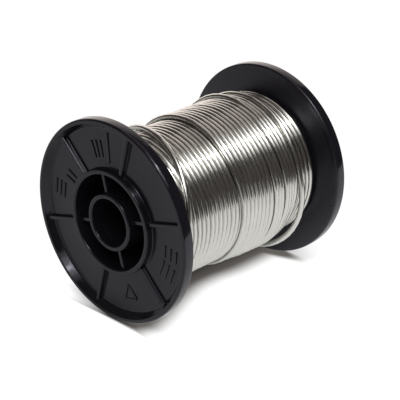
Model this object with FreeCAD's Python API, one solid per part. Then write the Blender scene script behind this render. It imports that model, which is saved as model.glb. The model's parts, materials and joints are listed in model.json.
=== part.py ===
import FreeCAD, Part
import math
import os

# Solder wire spool, in millimetres.
# The spool lies on its two flange rims. Its axis runs along Y, +Z is up, and the
# origin is the centre of the bore at mid-length. The front flange is at -Y.
# Angles go round the axis from +X towards +Z.

# ---------------------------------------------------------------- driving dimensions
WIRE_DIAMETER = 1.5
FLUX_CORE_DIAMETER = 0.5
FLANGE_RADIUS = 27.0
OVERALL_LENGTH = 60.3

# Flange: a raised lip round a shallow recess with radial ribs
LIP_DEPTH = 3.15
RECESS_DEPTH = 1.9
LIP_INNER_RADIUS = 25.8
RECESS_RADIUS = 24.5
EDGE_ROUND = 0.35
RIB_COUNT = 6
RIB_WIDTH = 1.15
RIB_SET_BACK = 0.8
RIB_DRAFT = 0.12

# Hub: the barrel, the bore tube inside it, and the webs between them
BARREL_RADIUS = 14.0
BARREL_INNER_RADIUS = 12.7
TUBE_RADIUS = 7.6
BORE_RADIUS = 6.35
WEB_COUNT = 4
WEB_WIDTH = 1.05
WEB_SET_BACK = 1.35
FIRST_SPOKE_ANGLE = 15.5
LAP_LENGTH = 4.0

# Winding: turns side by side, each layer in the grooves of the one below
LAYER_STEP = 0.866 * WIRE_DIAMETER
LAYER_COUNT = 5
LAYER_TURNS = [34.7, 34.7, 34.7, 34.7, 14.9]
TOP_LAYER_START = -3.2
TOP_LAYER_END = 17.1
FLANGE_GAP = 0.1

# The wire over the winding: angle round the axis, radius and place along the axis.
# It crosses from the front flange back over the top to where the top layer starts.
CROSSING = [
    (-22, 19.2, -24.4),
    (-2, 19.7, -22.6),
    (20, 20.1, -20.7),
    (42, 20.3, -18.8),
    (64, 20.5, -16.9),
    (86, 20.6, -15.2),
    (108, 20.8, -13.5),
    (130, 20.8, -11.7),
    (152, 20.8, -9.9),
    (174, 20.7, -8.2),
    (196, 20.6, -6.6),
    (218, 20.5, -5.1),
    (240, 20.5, -4.0),
]

# After the top layer the wire makes one loose turn near the rear flange. It bows out
# below the winding, comes up the front side and goes over the top to the hidden back.
LOOSE_TURN = [
    (-152, 20.7, 18.7),
    (-132, 20.8, 18.8),
    (-112, 21.0, 18.8),
    (-92, 21.4, 18.5),
    (-72, 21.9, 17.9),
    (-54, 22.5, 17.4),
    (-36, 23.0, 18.1),
    (-18, 22.5, 19.1),
    (0, 21.4, 19.3),
    (20, 20.8, 19.2),
    (42, 20.7, 19.6),
    (64, 20.7, 19.9),
    (86, 20.7, 20.1),
    (108, 20.7, 20.3),
    (130, 20.7, 20.6),
]

# The free end lies on the hidden back of the winding and lifts off it at its tip
FREE_END = [
    (130, 20.7, 20.6),
    (147, 20.6, 20.8),
    (164, 20.6, 20.9),
    (181, 20.6, 20.8),
    (197, 20.7, 20.5),
    (212, 21.1, 20.0),
    (226, 22.0, 19.3),
]
CROSSING_TURNS = 1.9
CORE_STUB_LENGTH = 3.0

# ---------------------------------------------------------------- derived dimensions
HALF_LENGTH = OVERALL_LENGTH / 2
TRAVERSE_END = HALF_LENGTH - LIP_DEPTH
LAP_RADIUS = (BARREL_RADIUS + BARREL_INNER_RADIUS) / 2
WIRE_RADIUS = WIRE_DIAMETER / 2
FIRST_LAYER_RADIUS = BARREL_RADIUS + WIRE_RADIUS
TOP_LAYER_RADIUS = FIRST_LAYER_RADIUS + (LAYER_COUNT - 1) * LAYER_STEP
FULL_LAYER_RADIUS = TOP_LAYER_RADIUS - LAYER_STEP

AXIS = FreeCAD.Vector(0, 1, 0)
ORIGIN = FreeCAD.Vector(0, 0, 0)
OVERLAP = 0.05


def polar(radius, angle, y):
    """A point at a radius and an angle round the spool's axis."""
    a = math.radians(angle)
    return FreeCAD.Vector(radius * math.cos(a), y, radius * math.sin(a))


def turned(outline):
    """Turn a closed outline of (radius, y, corner round) about the spool's axis."""
    points = [FreeCAD.Vector(radius, y, 0) for radius, y, corner in outline]
    rounds = [corner for radius, y, corner in outline]
    wire = rounded_wire(points, rounds, closed=True)
    return Part.Face(wire).revolve(ORIGIN, AXIS, 360)


def rounded_wire(points, rounds, closed):
    """Straight runs joined by tangent arcs. A round of 0 leaves a sharp corner."""
    count = len(points)
    starts = []
    ends = []
    arcs = []
    for i, corner in enumerate(points):
        at_end = not closed and i in (0, count - 1)
        if at_end or rounds[i] == 0:
            starts.append(corner)
            ends.append(corner)
            arcs.append(None)
            continue
        back = (points[i - 1] - corner).normalize()
        ahead = (points[(i + 1) % count] - corner).normalize()
        half_angle = back.getAngle(ahead) / 2
        cut = rounds[i] / math.tan(half_angle)
        bisector = (back + ahead).normalize()
        to_middle = rounds[i] / math.sin(half_angle) - rounds[i]
        starts.append(corner + back * cut)
        ends.append(corner + ahead * cut)
        middle = corner + bisector * to_middle
        arcs.append(Part.Arc(starts[i], middle, ends[i]).toShape())
    edges = []
    for i in range(count if closed else count - 1):
        following = (i + 1) % count
        if arcs[i] is not None:
            edges.append(arcs[i])
        edges.append(Part.LineSegment(ends[i], starts[following]).toShape())
    return Part.Wire(Part.__sortEdges__(edges))


def ring(outer, inner, y_start, y_end):
    """A plain round sleeve about the spool's axis."""
    outline = [(inner, y_start, 0), (outer, y_start, 0), (outer, y_end, 0), (inner, y_end, 0)]
    return turned(outline)


def spoke(angle, r_start, r_end, y_front, y_back, width, draft):
    """A radial rib or web, its front edge narrower than its back edge by the draft."""
    narrow = width / 2
    wide = narrow + draft
    section = [
        FreeCAD.Vector(r_start, y_front, -narrow),
        FreeCAD.Vector(r_start, y_front, narrow),
        FreeCAD.Vector(r_start, y_back, wide),
        FreeCAD.Vector(r_start, y_back, -wide),
    ]
    face = Part.Face(Part.makePolygon(section + section[:1]))
    solid = face.extrude(FreeCAD.Vector(r_end - r_start, 0, 0))
    solid.rotate(ORIGIN, AXIS, -angle)
    return solid


def moulded_half(lap_outside):
    """The front half of the moulded spool, in one piece: flange, barrel, webs and tube."""
    front = -HALF_LENGTH
    recess_floor = front + RECESS_DEPTH
    disc_back = front + LIP_DEPTH
    lap = LAP_LENGTH / 2
    outer_end = lap if lap_outside else -lap
    inner_end = -outer_end
    shell = turned(
        [
            (BARREL_INNER_RADIUS, front, 0.25),
            (BARREL_RADIUS, front, 0.25),
            (BARREL_RADIUS, recess_floor, 0.4),
            (RECESS_RADIUS, recess_floor, 0.6),
            (LIP_INNER_RADIUS, front, 0.25),
            (FLANGE_RADIUS, front, EDGE_ROUND),
            (FLANGE_RADIUS, disc_back, EDGE_ROUND),
            (BARREL_RADIUS, disc_back, 0.3),
            (BARREL_RADIUS, outer_end, 0),
            (LAP_RADIUS, outer_end, 0),
            (LAP_RADIUS, inner_end, 0),
            (BARREL_INNER_RADIUS, inner_end, 0),
        ]
    )
    tube = turned(
        [
            (BORE_RADIUS, front, 0.25),
            (TUBE_RADIUS, front, 0.25),
            (TUBE_RADIUS, 0, 0),
            (BORE_RADIUS, 0, 0),
        ]
    )
    pieces = [shell, tube]
    for k in range(RIB_COUNT):
        angle = FIRST_SPOKE_ANGLE + k * 360 / RIB_COUNT
        rib_front = front + RIB_SET_BACK
        rib_end = RECESS_RADIUS + 0.9
        inside_barrel = BARREL_RADIUS - OVERLAP
        inside_disc = recess_floor + OVERLAP
        pieces.append(
            spoke(angle, inside_barrel, rib_end, rib_front, inside_disc, RIB_WIDTH, RIB_DRAFT)
        )
    for k in range(WEB_COUNT):
        angle = FIRST_SPOKE_ANGLE + k * 360 / WEB_COUNT
        web_front = front + WEB_SET_BACK
        tube_wall = TUBE_RADIUS - OVERLAP
        barrel_wall = BARREL_INNER_RADIUS + OVERLAP
        web_back = min(inner_end, 0)
        pieces.append(spoke(angle, tube_wall, barrel_wall, web_front, web_back, WEB_WIDTH, 0))
    return pieces[0].multiFuse(pieces[1:]).removeSplitter()


def turned_end_for_end(solid):
    """The rear half faces the other way, its ribs and webs in line with the front's."""
    spoke_axis = polar(1, FIRST_SPOKE_ANGLE, 0)
    solid.rotate(ORIGIN, spoke_axis, 180)
    return solid


def winding_layer(index):
    """The outer shape of one layer of turns."""
    centre = FIRST_LAYER_RADIUS + index * LAYER_STEP
    inner = BARREL_RADIUS if index == 0 else centre - LAYER_STEP / 2
    outer = centre + LAYER_STEP / 2
    y_start = -TRAVERSE_END + FLANGE_GAP
    y_end = TRAVERSE_END - FLANGE_GAP
    if index == LAYER_COUNT - 2:
        outer = centre + WIRE_RADIUS
    if index == LAYER_COUNT - 1:
        inner = centre - LAYER_STEP + WIRE_RADIUS
        outer = centre + WIRE_RADIUS
        y_start = TOP_LAYER_START
        y_end = TOP_LAYER_END
    return ring(outer, inner, y_start, y_end)


def wire_length():
    """The whole wire's length: its turns layer by layer, and its last loose turn."""
    total = 0.0
    for index, turns in enumerate(LAYER_TURNS):
        centre = FIRST_LAYER_RADIUS + index * LAYER_STEP
        total += 2 * math.pi * centre * turns
    over_the_top = TOP_LAYER_RADIUS + 0.3
    return total + 2 * math.pi * over_the_top * CROSSING_TURNS


def corner_rounds(points):
    """The largest arc that each corner's two runs allow."""
    rounds = [0]
    for before, corner, after in zip(points, points[1:], points[2:]):
        back = corner - before
        ahead = after - corner
        turn = back.getAngle(ahead)
        run = min(back.Length, ahead.Length)
        rounds.append(0.45 * run / math.tan(turn / 2))
    rounds.append(0)
    return rounds


def wire_tube(name, route, core_diameter=0.0):
    """A length of solder wire along straight runs and tangent arcs."""
    points = [polar(radius, angle, y) for angle, radius, y in route]
    rounds = corner_rounds(points)
    path = rounded_wire(points, rounds, closed=False)
    direction = points[1] - points[0]
    outside = Part.Wire(Part.makeCircle(WIRE_RADIUS, points[0], direction))
    tube = path.makePipeShell([outside], True, False)
    area = math.pi * WIRE_RADIUS**2
    core = None
    if core_diameter:
        direction = (points[-2] - points[-1]).normalize()
        core = Part.makeCylinder(core_diameter / 2, CORE_STUB_LENGTH, points[-1], direction)
        tube = tube.cut(core)
    expected = area * path.Length - (core.Volume if core else 0)
    tightest = min(r for r in rounds if r)
    print(name, "length", round(path.Length, 1), "tightest arc", round(tightest, 1))
    print(name, "volume over section times length", round(tube.Volume / expected, 3))
    return tube, core


def build():
    """Every sub-part by its name."""
    solids = {}
    solids["front_half"] = moulded_half(lap_outside=True)
    solids["rear_half"] = turned_end_for_end(moulded_half(lap_outside=False))
    for index in range(LAYER_COUNT):
        solids[f"winding_layer_{index + 1}"] = winding_layer(index)
    solids["front_crossing_strand"] = wire_tube("front_crossing_strand", CROSSING)[0]
    solids["rear_loose_turn"] = wire_tube("rear_loose_turn", LOOSE_TURN)[0]
    tube, core = wire_tube("wire_free_end", FREE_END, FLUX_CORE_DIAMETER)
    solids["wire_free_end"] = tube
    solids["flux_core_end"] = core
    return solids


os.makedirs("parts", exist_ok=True)
print("wire length", round(wire_length()), "mm")
for node, solid in build().items():
    box = solid.BoundBox
    print(node, "solids", len(solid.Solids), "valid", solid.isValid(), "volume", round(solid.Volume, 1))
    print("    x", round(box.XMin, 2), round(box.XMax, 2), "y", round(box.YMin, 2), round(box.YMax, 2))
    solid.exportStep(f"parts/{node}.step")
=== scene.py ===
import json
import math

import bmesh
import bpy
from mathutils import Matrix, Vector


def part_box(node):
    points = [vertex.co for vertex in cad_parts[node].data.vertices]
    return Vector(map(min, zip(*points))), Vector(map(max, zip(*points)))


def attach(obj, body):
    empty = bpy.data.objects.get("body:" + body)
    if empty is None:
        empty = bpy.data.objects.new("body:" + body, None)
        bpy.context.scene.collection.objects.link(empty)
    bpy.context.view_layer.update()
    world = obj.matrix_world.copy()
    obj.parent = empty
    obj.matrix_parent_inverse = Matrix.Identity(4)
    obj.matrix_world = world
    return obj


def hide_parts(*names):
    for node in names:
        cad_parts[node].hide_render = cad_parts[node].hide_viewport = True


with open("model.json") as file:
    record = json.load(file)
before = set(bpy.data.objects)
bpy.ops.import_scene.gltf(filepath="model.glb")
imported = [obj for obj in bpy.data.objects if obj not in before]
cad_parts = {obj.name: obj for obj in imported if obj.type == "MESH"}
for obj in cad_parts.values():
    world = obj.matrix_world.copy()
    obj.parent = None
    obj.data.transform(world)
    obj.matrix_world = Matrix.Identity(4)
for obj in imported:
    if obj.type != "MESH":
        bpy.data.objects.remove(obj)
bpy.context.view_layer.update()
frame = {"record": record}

MM = 0.001
RECORD = frame["record"]

# ---------------------------------------------------------------- sizes, from the frame
FRONT_LOW, FRONT_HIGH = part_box("front_half")
REAR_LOW, REAR_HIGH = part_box("rear_half")
FLANGE_R = (FRONT_HIGH[2] - FRONT_LOW[2]) / 2
HALF_LENGTH = (REAR_HIGH[1] - FRONT_LOW[1]) / 2
BORE_R = next(m for m in RECORD["mounts"] if m["name"] == "arbor_bore")["dims"]["r_mm"] * MM
FLOOR_Z = FRONT_LOW[2]

# The moulding's own details, as on the CAD halves
BARREL_R = 14.0 * MM
BARREL_INNER_R = 12.7 * MM
TUBE_R = 7.6 * MM
FLANGE_THICKNESS = 3.15 * MM
RECESS_DEPTH = 1.9 * MM
LIP_INNER_R = 25.8 * MM
RECESS_R = 24.5 * MM
RIB_SET_BACK = 0.8 * MM
RIB_WIDTH = 1.15 * MM
WEB_SET_BACK = 1.35 * MM
WEB_WIDTH = 1.04 * MM
RIBS = 6
WEBS = 4
LAP = 2.0 * MM
FIRST_SPOKE = 15.5

SCENE = bpy.context.scene


# ---------------------------------------------------------------- camera
def make_camera():
    """A long lens, high over the front flange's right, as the spool was seen."""
    azimuth, elevation = math.radians(44.32), math.radians(24.84)
    back = Vector(
        (
            math.sin(azimuth) * math.cos(elevation),
            -math.cos(azimuth) * math.cos(elevation),
            math.sin(elevation),
        )
    )
    right = Vector((math.cos(azimuth), math.sin(azimuth), 0))
    up = back.cross(right)
    distance = 13.745 * FLANGE_R
    aim = 0.0678 * FLANGE_R * right - 0.1208 * FLANGE_R * up
    data = bpy.data.cameras.new("camera")
    data.sensor_width = 36
    data.lens = 126.5
    data.clip_start = 0.01
    data.clip_end = 50
    camera = bpy.data.objects.new("camera", data)
    SCENE.collection.objects.link(camera)
    camera.location = back * distance + aim
    camera.rotation_mode = "QUATERNION"
    camera.rotation_quaternion = Matrix((right, up, back)).transposed().to_quaternion()
    SCENE.camera = camera


# ---------------------------------------------------------------- the wire
WIRE_D = 1.5 * MM
PITCH = 1.507 * MM
LAYER_STEP = 0.866 * WIRE_D
LAYER_R = [BARREL_R + WIRE_D / 2 + k * LAYER_STEP for k in range(4)]
END_Y = 26.15 * MM
TURN_POINTS = 16
START_ANGLE = 135
# Where the fourth layer's last turn leaves the front flange
FOURTH_END_ANGLE = -65
# The crossing, the loose turn and the free end, close to the CAD solids: angle round the
# axis, radius and place along the axis, in degrees and millimetres
CROSSING = [
    (-45, 19.75, -26.0), (-22, 20.5, -24.6), (-2, 20.5, -22.6), (20, 20.35, -20.7),
    (42, 20.3, -18.8), (64, 20.5, -16.9), (86, 20.6, -15.2), (108, 20.8, -13.5),
    (130, 20.8, -11.7), (152, 20.8, -9.9), (174, 20.7, -8.2), (196, 20.6, -6.6),
    (218, 20.5, -5.1), (240, 20.5, -4.0),
]
LOOSE_TURN = [
    (-152, 20.7, 18.7), (-132, 20.8, 18.8), (-112, 21.0, 18.8), (-92, 21.4, 18.5),
    (-72, 21.9, 17.9), (-54, 22.5, 17.4), (-36, 23.0, 18.1), (-18, 22.5, 19.1),
    (0, 21.4, 19.3), (20, 20.8, 19.2), (42, 20.7, 19.6), (64, 20.7, 19.9), (86, 20.7, 20.1),
    (108, 20.7, 20.3), (130, 20.7, 20.6),
]
FREE_END = [
    (147, 20.6, 20.8), (164, 20.6, 20.9), (181, 20.6, 20.8), (197, 20.7, 20.5),
    (212, 21.1, 20.0), (226, 22.0, 19.3),
]
# Where each turn of the top layer passes the upper right side, in millimetres
TOP_TURN_ANGLE = 50
TOP_TURN_YS = [
    -4.4, -2.9, -1.4, 0.2, 1.7, 3.2, 4.6, 6.1, 7.6, 9.1, 10.6, 11.9, 13.65, 14.95, 16.25,
    17.6, 19.2,
]
# The top layer ends this far into its last turn, where the loose one begins
TOP_LAST_PART = 148


def smooth(value, low, high):
    """0 below low, 1 above high, and an even S between them."""
    t = min(1, max(0, (value - low) / (high - low)))
    return t * t * (3 - 2 * t)


def unevenness(angle):
    """How far a turn stands off its even place, in metres, at an angle in the winding."""
    a = math.radians(angle)
    slow = 0.045 * math.sin(0.37 * a + 1.0) + 0.035 * math.sin(0.83 * a + 2.1)
    quick = 0.012 * math.sin(3.17 * a + 0.4) + 0.003 * math.sin(6.41 * a + 1.3)
    return (slow + quick) * MM


def towards(angle, side):
    """1 where a turn passes the given side of the winding, and -1 on the opposite side."""
    return math.cos(math.radians(angle - side))


def hang(angle):
    """How far a turn sags off the layer below it: 0 over the top, 1 low on the right."""
    return (1 + towards(angle, -57)) / 2


def top_layer_place(angle):
    """The radius and y of the top layer, in millimetres, at an angle in the winding."""
    turns = (angle - TOP_TURN_ANGLE) / 360
    k = int(turns)
    share = turns - k
    y = TOP_TURN_YS[k] * (1 - share) + TOP_TURN_YS[k + 1] * share
    over_top = 19.95 + 0.25 * smooth(-y, 0.0, 2.5)
    below = 20.15 + 0.60 * smooth(y, -3.0, 8.0)
    radius = over_top + (below - over_top) * hang(angle)
    # Low on the right the turns part in two places, and the last few draw in
    low = smooth(towards(angle, -60), -0.17, 0.42)
    lower = smooth(towards(angle, -70), 0.35, 0.90)
    middle = smooth(towards(angle, -8), 0.82, 0.99)
    shift = low * (1.05 - 0.67 * smooth(turns, 1.0, 6.0)) + 0.45 * lower
    first_gap = shift + (0.55 * low + 0.40 * lower) * smooth(turns, 8.4, 8.8)
    first_gap *= 1 - smooth(turns, 9.0, 12.0)
    second_gap = 0.70 * middle * smooth(turns, 11.3, 11.6) * (1 - smooth(turns, 12.0, 14.6))
    drawn_in = smooth(towards(angle, -60), 0.4, 0.95) * smooth(turns, 12.2, 13.6)
    # One turn rides up on the next as it goes over the top
    ride = smooth(turns, 13.04, 13.16) * (1 - smooth(turns, 13.30, 13.45))
    radius += 1.0 * ride - 0.5 * drawn_in
    return radius, y + first_gap + second_gap + 0.2 * ride - 0.8 * drawn_in


def hidden_layers(angle, step):
    """The three lowest layers, level wound, as (angle, radius, y)."""
    places = []
    count = round(2 * END_Y / PITCH * TURN_POINTS)
    for layer in range(3):
        forward = 1 if layer % 2 == 0 else -1
        below = LAYER_R[max(layer - 1, 0)]
        for k in range(count):
            climb = smooth(k, 0, TURN_POINTS * 0.4)
            radius = below + (LAYER_R[layer] - below) * climb
            places.append((angle, radius, forward * (2 * k / count - 1) * END_Y))
            angle += step
    return places


def fourth_layer(start, step):
    """The layer that shows on both sides of the top one, as (angle, radius, y)."""
    places = []
    finish = start + 2 * END_Y / PITCH * 360
    finish -= (finish - FOURTH_END_ANGLE + 180) % 360 - 180
    angle = start
    while angle < finish:
        y = END_Y * (1 - 2 * (angle - start) / (finish - start))
        radius = LAYER_R[2] + (LAYER_R[3] - LAYER_R[2]) * smooth(angle - start, 0, 140)
        rear = smooth(y, 14 * MM, 20 * MM)
        sag = hang(angle) ** 2
        radius += (0.15 + 0.4 * (1 - rear) * sag + 0.5 * rear * (1 - sag)) * MM
        places.append((angle, radius + unevenness(angle), y))
        angle += step
    return places


def top_layer(angle, step):
    """The layer that winds from mid-length to the rear flange, as (angle, radius, y)."""
    places = []
    while angle < TOP_TURN_ANGLE + 360 * (len(TOP_TURN_YS) - 2) + TOP_LAST_PART:
        radius, y = top_layer_place(angle)
        off_y = 0.6 * unevenness(angle + 700)
        places.append((angle, radius * MM + unevenness(angle), y * MM + off_y))
        angle += step
    return places


def wire_route():
    """The whole wire, from its start on the barrel to its free end, as spline points."""
    points = []
    step = 360 / TURN_POINTS
    # A spline of order 3 runs inside its points by this much
    outset = 1 / (0.75 + 0.25 * math.cos(math.radians(step)))

    def add(angle, radius, y):
        a = math.radians(angle)
        points.append((radius * math.cos(a), y, radius * math.sin(a)))

    def add_turns(places):
        for angle, radius, y in places:
            add(angle, radius * outset, y)

    def add_by_hand(places):
        for angle, radius, y in places:
            add(angle, radius * MM, y * MM)

    hidden = hidden_layers(START_ANGLE, step)
    add_turns(hidden)
    add_turns(fourth_layer(hidden[-1][0] + step, step))
    add_by_hand(CROSSING)
    add_turns(top_layer(CROSSING[-1][0] + step, step))
    add_by_hand(LOOSE_TURN + FREE_END)
    # The flux core stands a little proud of the cut end
    end, before = Vector(points[-1]), Vector(points[-2])
    points[-1] = tuple(end + (before - end).normalized() * 0.15 * MM)
    return points


def make_wire():
    points = wire_route()
    curve = bpy.data.curves.new("solder_wire", "CURVE")
    curve.dimensions = "3D"
    curve.bevel_depth = WIRE_D / 2
    curve.bevel_resolution = 4
    curve.use_fill_caps = True
    curve.resolution_u = 3
    spline = curve.splines.new("NURBS")
    spline.points.add(len(points) - 1)
    for point, place in zip(spline.points, points):
        point.co = (*place, 1)
    spline.order_u = 3
    spline.use_endpoint_u = True
    spline.resolution_u = 3
    spline.use_smooth = True
    wire = bpy.data.objects.new("solder_wire", curve)
    SCENE.collection.objects.link(wire)
    return wire, points


# ---------------------------------------------------------------- materials
def new_material(name):
    material = bpy.data.materials.new(name)
    material.use_nodes = True
    nodes = material.node_tree.nodes
    links = material.node_tree.links
    return material, nodes, links, nodes["Principled BSDF"]


def noise(nodes, links, vector, scale, detail=3.0, roughness=0.55):
    node = nodes.new("ShaderNodeTexNoise")
    node.inputs["Scale"].default_value = scale
    node.inputs["Detail"].default_value = detail
    node.inputs["Roughness"].default_value = roughness
    links.new(vector, node.inputs["Vector"])
    return node.outputs["Fac"]


def ramp(nodes, links, factor, low, high, low_at=0.0, high_at=1.0, even=True):
    node = nodes.new("ShaderNodeMapRange")
    node.interpolation_type = "LINEAR" if even else "SMOOTHSTEP"
    node.inputs["From Min"].default_value = low_at
    node.inputs["From Max"].default_value = high_at
    node.inputs["To Min"].default_value = low
    node.inputs["To Max"].default_value = high
    links.new(factor, node.inputs["Value"])
    return node.outputs["Result"]


def colour_mix(nodes, links, factor, first, second):
    node = nodes.new("ShaderNodeMix")
    node.data_type = "RGBA"
    node.inputs["A"].default_value = (*first, 1)
    node.inputs["B"].default_value = (*second, 1)
    links.new(factor, node.inputs["Factor"])
    return node.outputs["Result"]


def math_node(nodes, links, operation, *values):
    node = nodes.new("ShaderNodeMath")
    node.operation = operation
    for socket, value in zip(node.inputs, values):
        if isinstance(value, (int, float)):
            socket.default_value = value
        else:
            links.new(value, socket)
    return node.outputs[0]


def bump(nodes, links, height, strength, distance):
    node = nodes.new("ShaderNodeBump")
    node.inputs["Strength"].default_value = strength
    node.inputs["Distance"].default_value = distance
    links.new(height, node.inputs["Height"])
    return node.outputs["Normal"]


def object_place(nodes, links):
    """A point's place on its object, whole and as x, y and z."""
    place = nodes.new("ShaderNodeTexCoord").outputs["Object"]
    split = nodes.new("ShaderNodeSeparateXYZ")
    links.new(place, split.inputs[0])
    return (place, *split.outputs)


def axis_distance(nodes, links, x, z):
    """How far a point is from the spool's axis."""
    squares = [math_node(nodes, links, "MULTIPLY", side, side) for side in (x, z)]
    return math_node(nodes, links, "SQRT", math_node(nodes, links, "ADD", *squares))


def plastic_material():
    """Black moulded polystyrene: glossy rims and edges, and satin recessed faces."""
    material, nodes, links, shader = new_material("moulded_plastic")
    place, x, y, z = object_place(nodes, links)
    cloud = noise(nodes, links, place, 90, 4)
    grain = noise(nodes, links, place, 2600, 2)
    scuff = noise(nodes, links, place, 420, 6, 0.7)
    colour = colour_mix(nodes, links, cloud, (0.0066, 0.0062, 0.0088), (0.0112, 0.0106, 0.0142))
    links.new(colour, shader.inputs["Base Color"])
    radius = axis_distance(nodes, links, x, z)
    from_middle = math_node(nodes, links, "ABSOLUTE", y)
    lip, rib_top = LIP_INNER_R - 0.2 * MM, HALF_LENGTH - 1.05 * MM
    inside_lip = ramp(nodes, links, radius, 1.0, 0.0, lip - 0.4 * MM, lip)
    below_edges = ramp(nodes, links, from_middle, 1.0, 0.0, rib_top - 0.4 * MM, rib_top)
    satin = math_node(nodes, links, "MULTIPLY", inside_lip, below_edges)
    polished = ramp(nodes, links, scuff, 0.07, 0.13, 0.3, 0.7)
    rough = math_node(nodes, links, "MULTIPLY_ADD", satin, 0.09, polished)
    inner_face = HALF_LENGTH - FLANGE_THICKNESS + 0.4 * MM
    winding_side = ramp(nodes, links, from_middle, 1.0, 0.0, inner_face, inner_face + 0.4 * MM)
    rough = math_node(nodes, links, "MULTIPLY_ADD", winding_side, 0.16, rough)
    links.new(rough, shader.inputs["Roughness"])
    links.new(bump(nodes, links, grain, 0.25, 0.00003), shader.inputs["Normal"])
    shader.inputs["IOR"].default_value = 1.5
    shader.inputs["Specular Tint"].default_value = (0.90, 0.88, 1.0, 1)
    return material


def solder_material():
    """Bright drawn tin-lead wire, with fine marks along it and dull patches."""
    material, nodes, links, shader = new_material("solder_alloy")
    place, x, y, z = object_place(nodes, links)
    around = math_node(nodes, links, "ARCTAN2", z, x)
    # The angle counts for little, so that the marks run along the wire
    along_wire = nodes.new("ShaderNodeCombineXYZ")
    links.new(math_node(nodes, links, "MULTIPLY", around, 0.0012), along_wire.inputs[0])
    links.new(y, along_wire.inputs[1])
    links.new(axis_distance(nodes, links, x, z), along_wire.inputs[2])
    streak = noise(nodes, links, along_wire.outputs[0], 5200, 3)
    patch = noise(nodes, links, place, 260, 4)
    colour = colour_mix(nodes, links, patch, (0.60, 0.597, 0.565), (0.67, 0.668, 0.635))
    links.new(colour, shader.inputs["Base Color"])
    shader.inputs["Metallic"].default_value = 1.0
    rough = ramp(nodes, links, streak, 0.12, 0.24, 0.3, 0.7)
    links.new(rough, shader.inputs["Roughness"])
    links.new(bump(nodes, links, streak, 0.35, 0.00002), shader.inputs["Normal"])
    return material


def flux_material():
    """Glassy amber rosin."""
    material, nodes, links, shader = new_material("rosin_flux")
    place = nodes.new("ShaderNodeTexCoord").outputs["Object"]
    cloud = noise(nodes, links, place, 3000, 3)
    colour = colour_mix(nodes, links, cloud, (0.42, 0.20, 0.05), (0.66, 0.38, 0.12))
    links.new(colour, shader.inputs["Base Color"])
    links.new(ramp(nodes, links, cloud, 0.12, 0.3), shader.inputs["Roughness"])
    links.new(bump(nodes, links, cloud, 0.3, 0.00003), shader.inputs["Normal"])
    return material


def floor_glow(nodes, links, y, behind):
    """How strongly the floor glows in what the spool mirrors of it: a painted glow, strongest on
    the right and far left, and even across a strip in front.
    """
    before = ramp(nodes, links, y, 1.0, 0.0, -0.036, -0.029)
    not_before = math_node(nodes, links, "SUBTRACT", 1.0, before)
    glow = math_node(nodes, links, "MULTIPLY", behind, 0.60)
    glow = math_node(nodes, links, "MULTIPLY", glow, not_before)
    return math_node(nodes, links, "ADD", glow, math_node(nodes, links, "MULTIPLY", before, 0.30))


def floor_shade(nodes, links, x, y):
    """The colour of the floor as it is seen: white but for the shade under the spool,
    which lies away from the softbox and is wider by each flange."""
    by_front = ramp(nodes, links, y, -0.0085, 0.0, -0.0300, 0.0010, even=False)
    by_middle = ramp(nodes, links, y, 0.0, -0.0012, 0.0030, 0.0140, even=False)
    by_rear = ramp(nodes, links, y, 0.0, -0.0075, 0.0240, 0.0285, even=False)
    by_lip = ramp(nodes, links, y, 1.0, 0.0, -0.0300, -0.0255, even=False)
    edge = math_node(nodes, links, "MULTIPLY_ADD", by_lip, 0.0018, x)
    for offset in (by_front, by_middle, by_rear):
        edge = math_node(nodes, links, "ADD", edge, offset)
    # The shade is deepest by the front flange's lip
    hollow = nodes.new("ShaderNodeAmbientOcclusion")
    hollow.samples = 16
    hollow.inputs["Distance"].default_value = 0.03
    open_sky = math_node(nodes, links, "MULTIPLY_ADD", by_lip, -0.099, hollow.outputs["AO"])
    left_place = math_node(nodes, links, "MULTIPLY_ADD", by_lip, -0.0063, x)
    white = ramp(nodes, links, open_sky, 0.0, 1.0, 0.40, 0.75)
    right_side = ramp(nodes, links, edge, 0.0, 1.0, 0.0008, 0.0084, even=False)
    in_front = ramp(nodes, links, y, 1.0, 0.0, -0.0311, -0.0302)
    on_left = ramp(nodes, links, left_place, 1.0, 0.0, -0.0230, -0.0075)
    for other in (right_side, in_front, on_left):
        white = math_node(nodes, links, "MAXIMUM", white, other)
    under = ramp(nodes, links, left_place, 0.0, 1.0, -0.0050, 0.0040)
    dark = colour_mix(nodes, links, under, (0.012, 0.011, 0.010), (0.13, 0.12, 0.11))
    shade = nodes.new("ShaderNodeMix")
    shade.data_type = "RGBA"
    links.new(white, shade.inputs["Factor"])
    links.new(dark, shade.inputs["A"])
    shade.inputs["B"].default_value = (1.04, 1.04, 1.04, 1)
    return shade.outputs["Result"]


def seen_as(nodes, links, lights, seen, output):
    """One shader for what lights and mirrors get, and another for what is looked at."""
    straight = nodes.new("ShaderNodeLightPath").outputs["Is Camera Ray"]
    mix = nodes.new("ShaderNodeMixShader")
    links.new(straight, mix.inputs[0])
    links.new(lights.outputs[0], mix.inputs[1])
    links.new(seen.outputs[0], mix.inputs[2])
    links.new(mix.outputs[0], output.inputs["Surface"])


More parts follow.
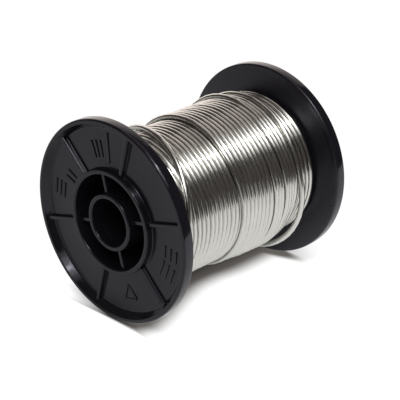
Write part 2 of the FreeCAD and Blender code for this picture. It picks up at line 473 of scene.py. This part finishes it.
def floor_material():
    """White sweep paper, burnt out to the eye but for the painted shade close round the spool.
    What the spool mirrors of it has painted light and shade: it is dimmer, and brightest on the
    right and far left."""
    material, nodes, links, shader = new_material("white_floor")
    place, x, y, _ = object_place(nodes, links)
    right = ramp(nodes, links, x, 0.0, 1.0, -0.004, 0.012)
    leftwards = math_node(nodes, links, "SUBTRACT", y, x)
    far_left = ramp(nodes, links, leftwards, 0.0, 1.0, 0.035, 0.07)
    behind = math_node(nodes, links, "MAXIMUM", right, far_left)
    # Painted light and shade for what the spool mirrors: the colour is lighter and the glow
    # stronger on the right and far left
    dim = colour_mix(nodes, links, behind, (0.30, 0.298, 0.295), (0.47, 0.468, 0.46))
    links.new(dim, shader.inputs["Base Color"])
    links.new(floor_glow(nodes, links, y, behind), shader.inputs["Emission Strength"])
    shader.inputs["Emission Color"].default_value = (1, 1, 1, 1)
    shader.inputs["Roughness"].default_value = 0.8
    burnt = nodes.new("ShaderNodeEmission")
    links.new(floor_shade(nodes, links, x, y), burnt.inputs["Color"])
    cloud = noise(nodes, links, place, 6, 3)
    links.new(ramp(nodes, links, cloud, 0.995, 1.005), burnt.inputs["Strength"])
    seen_as(nodes, links, shader, burnt, nodes["Material Output"])
    return material


def card_material():
    """A white card with a painted glow, strongest at its foot, so that it fades upwards."""
    material, nodes, links, shader = new_material("white_card")
    height = object_place(nodes, links)[-1]
    # Painted glow: the card's emission is set by its height, not by any lamp
    strength = ramp(nodes, links, height, 1.25, 0.20, 0.38, 1.10)
    shader.inputs["Base Color"].default_value = (0.2, 0.2, 0.2, 1)
    shader.inputs["Emission Color"].default_value = (1.0, 0.90, 0.85, 1)
    links.new(strength, shader.inputs["Emission Strength"])
    return material


# ---------------------------------------------------------------- mesh helpers
def rounded(outline, arc_points=5):
    """A closed outline of (radius, y, corner radius), its corners turned into arcs."""
    made = []
    count = len(outline)
    for i, (r, y, corner) in enumerate(outline):
        here = Vector((r, y))
        if not corner:
            made.append(here)
            continue
        before = Vector(outline[i - 1][:2]) - here
        after = Vector(outline[(i + 1) % count][:2]) - here
        half = before.angle(after) / 2
        before.normalize()
        after.normalize()
        middle = here + (before + after).normalized() * (corner / math.sin(half))
        cut = corner / math.tan(half)
        first = here + before * cut - middle
        last = here + after * cut - middle
        sweep = first.angle_signed(last)
        for k in range(arc_points + 1):
            a = -sweep * k / arc_points
            made.append(middle + Matrix.Rotation(a, 2) @ first)
    return made


def lathe(name, outline, segments=224):
    """A closed outline of (radius, y, corner radius) turned about the spool's axis."""
    profile = rounded(outline)
    bm = bmesh.new()
    rings = []
    for k in range(segments):
        a = 2 * math.pi * k / segments
        rings.append([bm.verts.new((p.x * math.cos(a), p.y, p.x * math.sin(a))) for p in profile])
    for k in range(segments):
        here, ahead = rings[k], rings[(k + 1) % segments]
        for j in range(len(profile)):
            m = (j + 1) % len(profile)
            bm.faces.new((here[j], here[m], ahead[m], ahead[j]))
    bmesh.ops.recalc_face_normals(bm, faces=bm.faces)
    return to_object(name, bm)


def to_object(name, bm):
    mesh = bpy.data.meshes.new(name)
    bm.to_mesh(mesh)
    bm.free()
    made = bpy.data.objects.new(name, mesh)
    SCENE.collection.objects.link(made)
    return made


def about_axis(angle):
    """A turn about the spool's axis, in degrees from +X towards +Z."""
    return Matrix.Rotation(-math.radians(angle), 4, "Y")


def extruded(name, section, start, end, angle):
    """A closed (y, sideways) section drawn out along the radius at an angle."""
    bm = bmesh.new()
    inner, outer = [[bm.verts.new((r, y, side)) for y, side in section] for r in (start, end)]
    bm.faces.new(inner)
    bm.faces.new(outer[::-1])
    count = len(section)
    for j in range(count):
        m = (j + 1) % count
        bm.faces.new((inner[m], inner[j], outer[j], outer[m]))
    bmesh.ops.recalc_face_normals(bm, faces=bm.faces)
    bmesh.ops.transform(bm, matrix=about_axis(angle), verts=bm.verts)
    return to_object(name, bm)


def rib_section(top, base, width, draft, round_top, flare):
    """A rib's cross-section: rounded top edges, drafted sides and a flared foot."""
    half = width / 2
    foot = half + draft
    quarter = [math.radians(90 * k / 4) for k in range(5)]
    side = [(base + 0.2 * MM, foot + flare)]
    for a in quarter:
        side.append((base - flare * (1 - math.cos(a)), foot + flare * (1 - math.sin(a))))
    for a in quarter:
        side.append((top + round_top * (1 - math.sin(a)), half - round_top * (1 - math.cos(a))))
    return side + [(y, -s) for y, s in reversed(side)]


def bar(name, radius, angle, length, width, turn, height):
    """A raised moulded bar with soft edges on the recess floor."""
    bm = bmesh.new()
    bmesh.ops.create_cube(bm, size=1)
    bmesh.ops.scale(bm, vec=(length, 2 * height, width), verts=bm.verts)
    bmesh.ops.bevel(
        bm, geom=bm.edges[:], offset=height * 0.55, segments=2, profile=0.5, affect="EDGES"
    )
    out = Matrix.Translation((radius, -HALF_LENGTH + RECESS_DEPTH, 0))
    place = about_axis(angle) @ out @ about_axis(turn)
    bmesh.ops.transform(bm, matrix=place, verts=bm.verts)
    return to_object(name, bm)


def moulded_marks():
    """Plain raised bars and a triangle where a moulder marks the part."""
    height = 0.28 * MM
    width = 0.55 * MM
    # Radius, angle, length, and turn from the radius
    marks = [(19.4, 94, 8.0, 0)]
    marks += [(18.9, angle, 4.6, 0) for angle in (102, 106.5, 111)]
    marks += [(17.4, angle, 3.4, 0) for angle in (152, 158)]
    marks += [(radius, 172, 4.4, 90) for radius in (18.8, 20.4, 22.0)]
    marks += [(radius, 338, 4.6, 90) for radius in (18.4, 20.3, 22.2)]
    marks += [(radius, 353, 3.4, 90) for radius in (18.4, 20.3, 22.2)]
    # The triangle's three sides stand round its centre
    centre_angle = 286
    centre = about_axis(centre_angle) @ Vector((19.6, 0, 0))
    for k in range(3):
        side_angle = centre_angle + 120 * k
        place = centre + about_axis(side_angle) @ Vector((1.35, 0, 0))
        angle = math.degrees(math.atan2(place.z, place.x))
        marks.append((place.length, angle, 4.3, side_angle + 90 - angle))
    return [
        bar(f"mark_{k}", radius * MM, angle, length * MM, width, turn, height)
        for k, (radius, angle, length, turn) in enumerate(marks)
    ]


def joined(name, pieces):
    """One closed mesh made of overlapping closed meshes."""
    group = bpy.data.collections.new(name + "_parts")
    for piece in pieces[1:]:
        SCENE.collection.objects.unlink(piece)
        group.objects.link(piece)
    union = pieces[0].modifiers.new("union", "BOOLEAN")
    union.operation = "UNION"
    union.solver = "EXACT"
    union.operand_type = "COLLECTION"
    union.collection = group
    depsgraph = bpy.context.evaluated_depsgraph_get()
    mesh = bpy.data.meshes.new_from_object(pieces[0].evaluated_get(depsgraph))
    mesh.name = name
    made = bpy.data.objects.new(name, mesh)
    SCENE.collection.objects.link(made)
    for piece in pieces:
        bpy.data.objects.remove(piece)
    bpy.data.collections.remove(group)
    return made


def shade(piece, sharp_angle=35):
    """Smooth faces, with sharp edges kept where two faces meet at a steep angle."""
    bm = bmesh.new()
    bm.from_mesh(piece.data)
    for face in bm.faces:
        face.smooth = True
    for edge in bm.edges:
        steep = len(edge.link_faces) != 2 or edge.calc_face_angle(0) > math.radians(sharp_angle)
        edge.smooth = not steep
    bm.to_mesh(piece.data)
    bm.free()


# ---------------------------------------------------------------- the moulded halves
def make_half(name, front_side):
    """One moulding: flange, barrel, bore tube, ribs, webs and marks, in one mesh."""
    front = -HALF_LENGTH
    floor = front + RECESS_DEPTH
    flange_back = front + FLANGE_THICKNESS
    lap_r = (BARREL_R + BARREL_INNER_R) / 2
    outer_end = LAP if front_side else -LAP
    shell = lathe(
        name + "_shell",
        [
            (BARREL_INNER_R, front, 0.35 * MM),
            (BARREL_R, front, 0.35 * MM),
            (BARREL_R, floor, 0.3 * MM),
            (RECESS_R, floor, 0.7 * MM),
            (LIP_INNER_R, front, 0.25 * MM),
            (FLANGE_R, front, 0.55 * MM),
            (FLANGE_R, flange_back, 0.45 * MM),
            (BARREL_R, flange_back, 0.3 * MM),
            (BARREL_R, outer_end, 0),
            (lap_r, outer_end, 0),
            (lap_r, -outer_end, 0),
            (BARREL_INNER_R, -outer_end, 0),
        ],
    )
    tube = lathe(
        name + "_tube",
        [
            (BORE_R, front, 0.3 * MM),
            (TUBE_R, front, 0.35 * MM),
            (TUBE_R, 0, 0),
            (BORE_R, 0, 0),
        ],
    )
    pieces = [shell, tube]
    # Ribs and webs run a little into what is at their ends, so that all join
    bite = 0.3 * MM
    rib_end = RECESS_R + 0.9 * MM
    rib = rib_section(
        front + RIB_SET_BACK, floor, RIB_WIDTH, draft=0.12 * MM, round_top=0.3 * MM, flare=0.12 * MM
    )
    for k in range(RIBS):
        angle = FIRST_SPOKE + 360 / RIBS * k
        pieces.append(extruded(f"rib_{k}", rib, BARREL_R - bite, rib_end, angle))
    web_back = -LAP if front_side else 0
    web = rib_section(
        front + WEB_SET_BACK, web_back, WEB_WIDTH, draft=0, round_top=0.2 * MM, flare=0
    )
    web = [(y, side) for y, side in web if y <= web_back]
    for k in range(WEBS):
        angle = FIRST_SPOKE + 360 / WEBS * k
        pieces.append(extruded(f"web_{k}", web, TUBE_R - bite, BARREL_INNER_R + bite, angle))
    pieces += moulded_marks()
    half = joined(name, pieces)
    if not front_side:
        # The rear half is turned end for end about a spoke
        spoke = about_axis(FIRST_SPOKE) @ Vector((1, 0, 0))
        half.data.transform(Matrix.Rotation(math.pi, 4, spoke))
    shade(half)
    return half


# ---------------------------------------------------------------- floor and lights
def make_floor():
    bm = bmesh.new()
    low_x, high_x, low_y, high_y = -1.2, 0.17, -0.9, 1.6
    corners = [(low_x, low_y), (high_x, low_y), (high_x, high_y), (low_x, high_y)]
    bm.faces.new([bm.verts.new((x, y, FLOOR_Z)) for x, y in corners])
    floor = to_object("floor", bm)
    floor.data.materials.append(floor_material())


def make_world():
    """White to look at, and dim behind what the spool reflects."""
    world = bpy.data.worlds.new("world")
    SCENE.world = world
    world.use_nodes = True
    nodes = world.node_tree.nodes
    links = world.node_tree.links
    background = nodes["Background"]
    background.inputs["Color"].default_value = (0.062, 0.055, 0.052, 1)
    background.inputs["Strength"].default_value = 1.0
    white = nodes.new("ShaderNodeBackground")
    white.inputs["Color"].default_value = (1, 1, 1, 1)
    white.inputs["Strength"].default_value = 1.3
    seen_as(nodes, links, background, white, nodes["World Output"])


def make_backdrop():
    """A white card curved round the back and left of the floor."""
    bm = bmesh.new()
    radius, height = 0.9, 1.15
    first_angle, last_angle, steps = 96, 178, 32
    lower, upper = [], []
    for k in range(steps + 1):
        a = math.radians(first_angle + (last_angle - first_angle) * k / steps)
        x, y = radius * math.cos(a), radius * math.sin(a)
        lower.append(bm.verts.new((x, y, FLOOR_Z)))
        upper.append(bm.verts.new((x, y, FLOOR_Z + height)))
    for k in range(steps):
        bm.faces.new((lower[k + 1], lower[k], upper[k], upper[k + 1]))
    card = to_object("backdrop", bm)
    card.data.materials.append(card_material())


def strip_light(name, angle, distance, middle_y, length, width_angle, radiance, colour=(1, 1, 1)):
    """A strip lying along the spool's axis, seen from it at an angle up from +X and as wide
    as width_angle, in degrees."""
    width = 2 * distance * math.tan(math.radians(width_angle / 2))
    data = bpy.data.lights.new(name, "AREA")
    data.shape = "RECTANGLE"
    data.size = length
    data.size_y = width
    data.energy = radiance * math.pi * length * width
    data.color = colour
    light = bpy.data.objects.new(name, data)
    SCENE.collection.objects.link(light)
    out = about_axis(angle) @ Vector((1, 0, 0))
    along = Vector((0, 1, 0))
    light.location = out * distance + along * middle_y
    light.rotation_mode = "QUATERNION"
    light.rotation_quaternion = Matrix((along, out.cross(along), out)).transposed().to_quaternion()


def make_lights():
    """A softbox high on the right, brighter towards its middle, and a dim warm panel on top."""
    strip_light("softbox_edge", 62, 0.600, -0.20, 0.96, 38, 0.8)
    strip_light("softbox_inner", 62, 0.596, -0.20, 0.96, 24, 1.3)
    strip_light("softbox_core", 64, 0.592, -0.20, 0.96, 5, 7.5)
    strip_light("top_panel", 96, 0.600, 0.10, 0.50, 38, 0.40, (1.0, 0.90, 0.85))


# ---------------------------------------------------------------- the scene
make_camera()
wire, wire_points = make_wire()
wire.data.materials.append(solder_material())
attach(wire, "root")
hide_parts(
    "winding_layer_1",
    "winding_layer_2",
    "winding_layer_3",
    "winding_layer_4",
    "winding_layer_5",
    "front_crossing_strand",
    "rear_loose_turn",
    "wire_free_end",
)
flux_core = bpy.data.objects["flux_core_end"]
flux_core.data.materials.clear()
flux_core.data.materials.append(flux_material())

plastic = plastic_material()
for node, is_front in (("front_half", True), ("rear_half", False)):
    half = make_half(node + "_moulding", is_front)
    half.data.materials.clear()
    half.data.materials.append(plastic)
    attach(half, "root")
    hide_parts(node)

make_floor()
make_backdrop()
make_world()
make_lights()
SCENE.view_settings.view_transform = "Standard"
SCENE.view_settings.look = "None"
